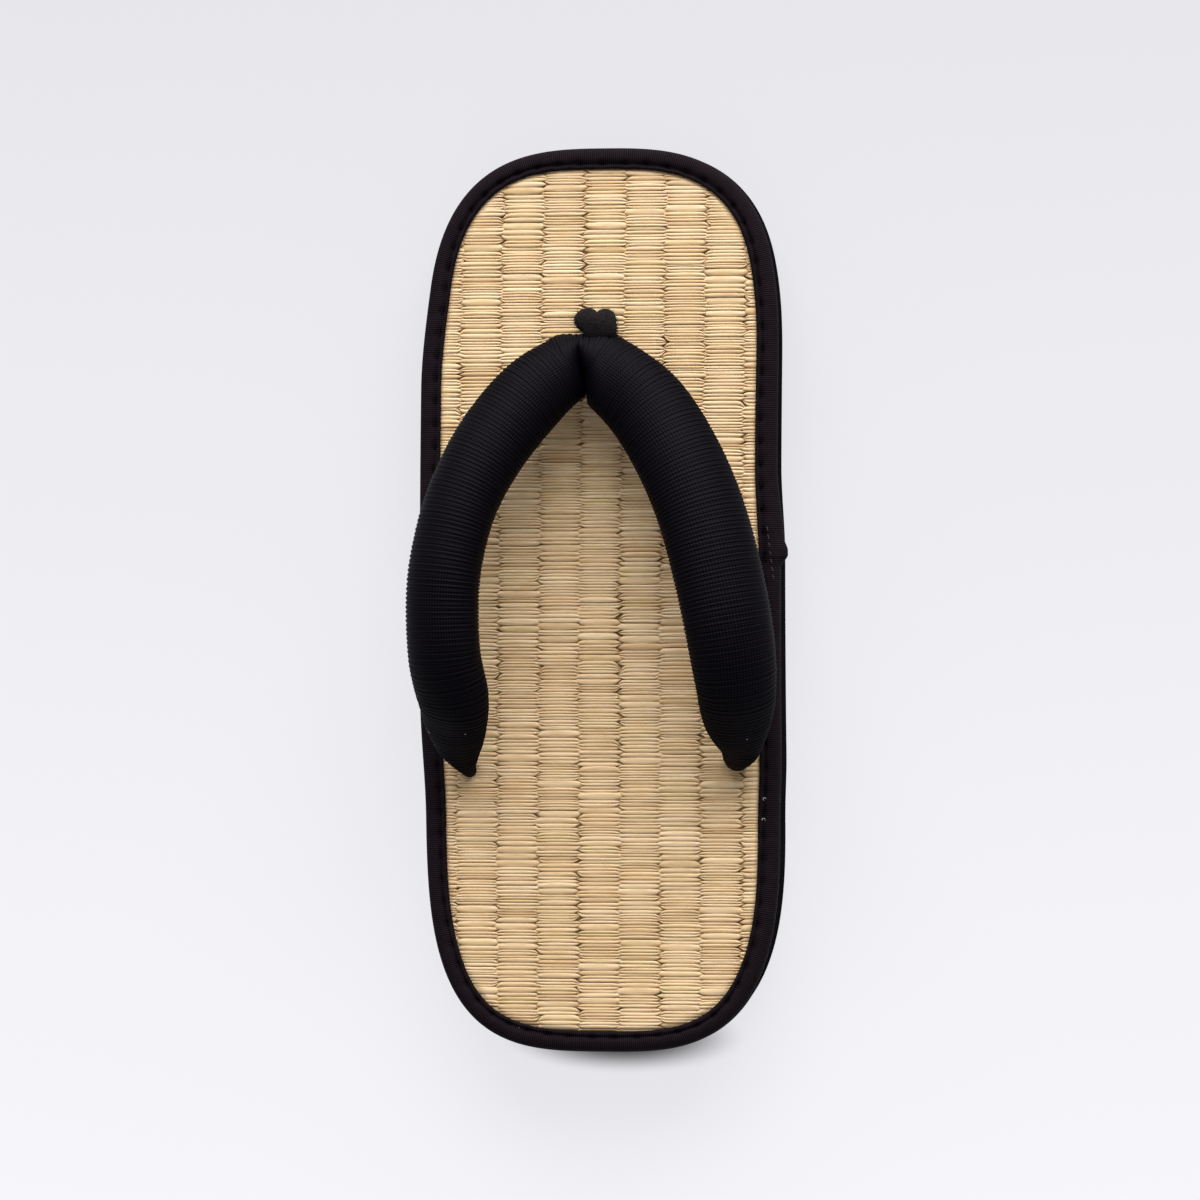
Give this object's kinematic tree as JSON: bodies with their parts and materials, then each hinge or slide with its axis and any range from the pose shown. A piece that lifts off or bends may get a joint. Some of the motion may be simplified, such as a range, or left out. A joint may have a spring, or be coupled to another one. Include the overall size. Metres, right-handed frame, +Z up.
{
  "type": "zori sandal",
  "caption": "Flat thong sandal: rush mat footbed with taped edge, foam sole and a padded V-shaped fabric strap.",
  "frame": {"origin": "middle of the sole's flat underside, on the floor", "axes": "+Y towards the toe along the sandal's length, +Z up, +X to the right seen from above with the toe away"},
  "size_m": [0.1057, 0.2652, 0.0596],
  "materials": {
    "foam": "matt black sponge foam",
    "board": "plain pressed fibre board",
    "rush": "natural dried rush, satin stalks",
    "tape": "ribbed black tape with a soft sheen",
    "strap_fabric": "matt black ribbed fabric over padding",
    "felt": "matt black felt"
  },
  "bodies": {
    "root": {"outsole": "foam", "insole_board": "board", "rush_mat": "rush", "edge_binding": "tape", "strap": "strap_fabric", "toe_loop": "felt"}
  },
  "joints": []
}
